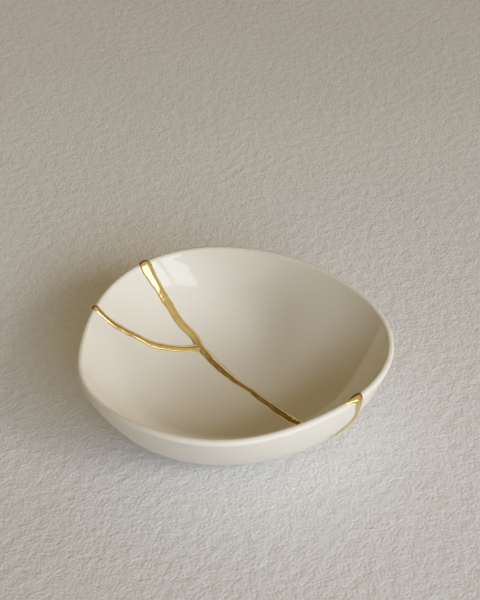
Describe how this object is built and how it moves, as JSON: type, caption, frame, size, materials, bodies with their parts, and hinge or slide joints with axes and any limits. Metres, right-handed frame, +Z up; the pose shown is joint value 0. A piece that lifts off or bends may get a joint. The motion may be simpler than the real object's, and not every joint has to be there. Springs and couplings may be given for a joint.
{
  "type": "kintsugi bowl",
  "caption": "Small hand-formed porcelain bowl, broken and mended: a raised gold seam runs across the bowl and branches once.",
  "frame": {"origin": "centre of the bowl's bounding box, on the flat foot it stands on", "axes": "+Z up through the open mouth; +Y towards the rim where the long seam starts; +X towards the right shard"},
  "size_m": [0.1296, 0.128, 0.0399],
  "materials": {
    "porcelain_right": "glossy glaze inside, satin outside",
    "porcelain_front": "glossy glaze inside, satin outside",
    "porcelain_small": "glossy glaze inside, satin outside",
    "gold": "polished"
  },
  "bodies": {
    "root": {"right_shard": "porcelain_right", "front_shard": "porcelain_front", "small_shard": "porcelain_small", "gold_seam": "gold"}
  },
  "joints": []
}
